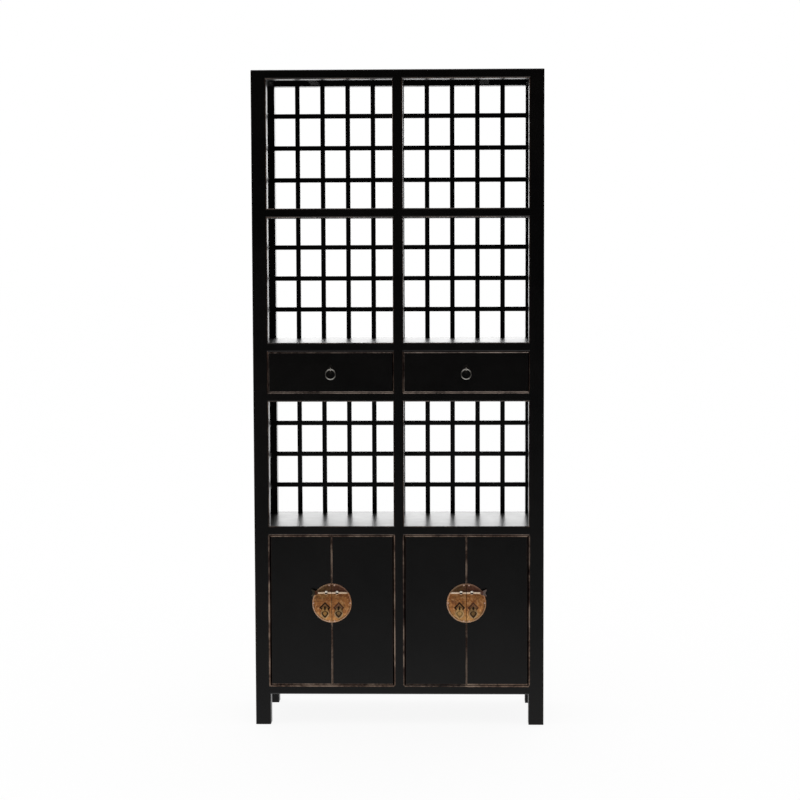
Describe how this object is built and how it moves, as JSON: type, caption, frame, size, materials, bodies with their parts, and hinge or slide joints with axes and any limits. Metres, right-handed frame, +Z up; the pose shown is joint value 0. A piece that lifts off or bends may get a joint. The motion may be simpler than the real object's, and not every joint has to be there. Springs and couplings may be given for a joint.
{
  "type": "book cabinet",
  "caption": "Tall free-standing book cabinet: open tiers with grid lattice at the back and sides, a row of drawers with ring pulls, and a cupboard with paired doors, round plates and lock pins.",
  "frame": {"origin": "middle of the overall width and depth (door hardware included) at floor level", "axes": "+Z up; the front with the doors and drawers faces -Y; +X is to the right of someone facing the front"},
  "size_m": [0.885, 0.356, 2],
  "materials": {
    "black_lacquer": "satin black lacquer on wood, worn to brown wood at the arrises",
    "bare_wood": "unlacquered inner wood",
    "aged_brass": "aged, patches of brown patina",
    "grey_brass": "dull grey patina"
  },
  "bodies": {
    "cabinet_frame": {"back_panels": "black_lacquer", "bottom_board": "black_lacquer", "bottom_front_rail": "black_lacquer", "drawer_front_rail": "black_lacquer", "drawer_partition_and_guides": "bare_wood", "drawer_support_board": "black_lacquer", "front_centre_post": "black_lacquer", "front_left_post": "black_lacquer", "front_right_post": "black_lacquer", "left_side_lattices": "black_lacquer", "left_side_panels": "black_lacquer", "left_side_rails": "black_lacquer", "lower_left_back_lattice": "black_lacquer", "lower_right_back_lattice": "black_lacquer", "lower_shelf_board": "black_lacquer", "lower_shelf_front_rail": "black_lacquer", "middle_left_back_lattice": "black_lacquer", "middle_right_back_lattice": "black_lacquer", "middle_shelf_board": "black_lacquer", "middle_shelf_front_rail": "black_lacquer", "rear_centre_post": "black_lacquer", "rear_left_post": "black_lacquer", "rear_rails": "black_lacquer", "rear_right_post": "black_lacquer", "right_side_lattices": "black_lacquer", "right_side_panels": "black_lacquer", "right_side_rails": "black_lacquer", "top_board": "black_lacquer", "top_front_rail": "black_lacquer", "upper_left_back_lattice": "black_lacquer", "upper_right_back_lattice": "black_lacquer", "upper_shelf_board": "black_lacquer", "upper_shelf_front_rail": "black_lacquer"},
    "left_outer_door": {"left_outer_door_leaf": "black_lacquer", "left_outer_door_plate": "aged_brass"},
    "left_outer_pull": {"left_outer_door_pull": "aged_brass"},
    "left_inner_door": {"left_inner_door_leaf": "black_lacquer", "left_inner_door_plate": "aged_brass"},
    "left_inner_pull": {"left_inner_door_pull": "aged_brass"},
    "left_pin_head": {"left_lock_pin_head": "aged_brass"},
    "left_pin_tail": {"left_lock_pin_tail": "aged_brass"},
    "left_drawer": {"left_drawer_front": "black_lacquer", "left_drawer_box": "bare_wood", "left_drawer_bottom": "bare_wood", "left_drawer_ring_mount": "grey_brass"},
    "left_ring": {"left_drawer_ring": "grey_brass"},
    "right_outer_door": {"right_outer_door_leaf": "black_lacquer", "right_outer_door_plate": "aged_brass"},
    "right_outer_pull": {"right_outer_door_pull": "aged_brass"},
    "right_inner_door": {"right_inner_door_leaf": "black_lacquer", "right_inner_door_plate": "aged_brass"},
    "right_inner_pull": {"right_inner_door_pull": "aged_brass"},
    "right_pin_head": {"right_lock_pin_head": "aged_brass"},
    "right_pin_tail": {"right_lock_pin_tail": "aged_brass"},
    "right_drawer": {"right_drawer_front": "black_lacquer", "right_drawer_box": "bare_wood", "right_drawer_bottom": "bare_wood", "right_drawer_ring_mount": "grey_brass"},
    "right_ring": {"right_drawer_ring": "grey_brass"}
  },
  "joints": [
    {"name": "left_outer_door_hinge", "type": "hinge", "parent": "cabinet_frame", "child": "left_outer_door", "pos_m": [-0.3865, -0.153, 0.3545], "axis": [0, 0, -1], "range_deg": [0, 95]},
    {"name": "left_inner_door_hinge", "type": "hinge", "parent": "cabinet_frame", "child": "left_inner_door", "pos_m": [-0.026, -0.153, 0.3545], "axis": [0, 0, 1], "range_deg": [0, 80]},
    {"name": "left_outer_pull_swing", "type": "hinge", "parent": "left_outer_door", "child": "left_outer_pull", "pos_m": [-0.22725, -0.1713, 0.364], "axis": [-1, 0, 0], "range_deg": [0, 60]},
    {"name": "left_inner_pull_swing", "type": "hinge", "parent": "left_inner_door", "child": "left_inner_pull", "pos_m": [-0.18525, -0.1713, 0.364], "axis": [-1, 0, 0], "range_deg": [0, 60]},
    {"name": "left_pin_head_slide", "type": "slide", "parent": "left_outer_door", "child": "left_pin_head", "axis": [-1, 0, 0], "range_m": [0, 0.032]},
    {"name": "left_pin_tail_slide", "type": "slide", "parent": "left_inner_door", "child": "left_pin_tail", "axis": [-1, 0, 0], "range_m": [0, 0.032]},
    {"name": "left_drawer_slide", "type": "slide", "parent": "cabinet_frame", "child": "left_drawer", "axis": [0, -1, 0], "range_m": [0, 0.2]},
    {"name": "left_ring_swing", "type": "hinge", "parent": "left_drawer", "child": "left_ring", "pos_m": [-0.20625, -0.168, 1.096], "axis": [-1, 0, 0], "range_deg": [0, 85]},
    {"name": "right_outer_door_hinge", "type": "hinge", "parent": "cabinet_frame", "child": "right_outer_door", "pos_m": [0.3865, -0.153, 0.3545], "axis": [0, 0, 1], "range_deg": [0, 95]},
    {"name": "right_inner_door_hinge", "type": "hinge", "parent": "cabinet_frame", "child": "right_inner_door", "pos_m": [0.026, -0.153, 0.3545], "axis": [0, 0, -1], "range_deg": [0, 80]},
    {"name": "right_outer_pull_swing", "type": "hinge", "parent": "right_outer_door", "child": "right_outer_pull", "pos_m": [0.22725, -0.1713, 0.364], "axis": [-1, 0, 0], "range_deg": [0, 60]},
    {"name": "right_inner_pull_swing", "type": "hinge", "parent": "right_inner_door", "child": "right_inner_pull", "pos_m": [0.18525, -0.1713, 0.364], "axis": [-1, 0, 0], "range_deg": [0, 60]},
    {"name": "right_pin_head_slide", "type": "slide", "parent": "right_outer_door", "child": "right_pin_head", "axis": [1, 0, 0], "range_m": [0, 0.032]},
    {"name": "right_pin_tail_slide", "type": "slide", "parent": "right_inner_door", "child": "right_pin_tail", "axis": [1, 0, 0], "range_m": [0, 0.032]},
    {"name": "right_drawer_slide", "type": "slide", "parent": "cabinet_frame", "child": "right_drawer", "axis": [0, -1, 0], "range_m": [0, 0.2]},
    {"name": "right_ring_swing", "type": "hinge", "parent": "right_drawer", "child": "right_ring", "pos_m": [0.20625, -0.168, 1.096], "axis": [-1, 0, 0], "range_deg": [0, 85]}
  ],
  "couplings": [
    {"joint": "left_pin_tail_slide", "follows": "left_pin_head_slide", "ratio": 1},
    {"joint": "right_pin_tail_slide", "follows": "right_pin_head_slide", "ratio": 1}
  ]
}
